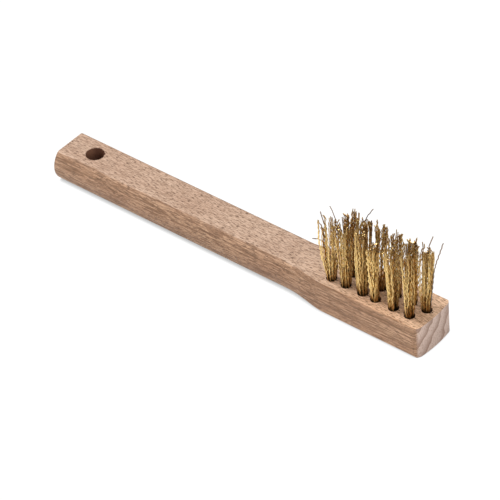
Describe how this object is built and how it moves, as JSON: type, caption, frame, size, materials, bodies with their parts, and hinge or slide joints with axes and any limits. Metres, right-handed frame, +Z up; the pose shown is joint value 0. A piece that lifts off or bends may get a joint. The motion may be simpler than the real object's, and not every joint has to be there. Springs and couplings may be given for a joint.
{
  "type": "wire hand brush",
  "caption": "Small hand scratch brush: slim wooden block handle with a hanging hole, and two staggered rows of crimped brass wire tufts standing up at the toe.",
  "frame": {"origin": "middle of the block's flat underside", "axes": "+Z up, the way the wire points; +X along the block towards the toe; -Y is the side nearer the front row of tufts"},
  "size_m": [0.1533, 0.0178, 0.0419],
  "materials": {
    "beech": "planed and sanded, no varnish",
    "brass_wire": "drawn and crimped wire, slightly tarnished at the tips",
    "anchor_steel": "plain flat strip"
  },
  "bodies": {
    "root": {"handle": "beech", "tuft_front_1": "brass_wire", "tuft_front_2": "brass_wire", "tuft_front_3": "brass_wire", "tuft_front_4": "brass_wire", "tuft_front_5": "brass_wire", "tuft_front_6": "brass_wire", "tuft_back_1": "brass_wire", "tuft_back_2": "brass_wire", "tuft_back_3": "brass_wire", "tuft_back_4": "brass_wire", "tuft_back_5": "brass_wire", "tuft_back_6": "brass_wire", "stray_wires": "brass_wire", "anchor_front_1": "anchor_steel", "anchor_front_2": "anchor_steel", "anchor_front_3": "anchor_steel", "anchor_front_4": "anchor_steel", "anchor_front_5": "anchor_steel", "anchor_front_6": "anchor_steel", "anchor_back_1": "anchor_steel", "anchor_back_2": "anchor_steel", "anchor_back_3": "anchor_steel", "anchor_back_4": "anchor_steel", "anchor_back_5": "anchor_steel", "anchor_back_6": "anchor_steel"}
  },
  "joints": []
}
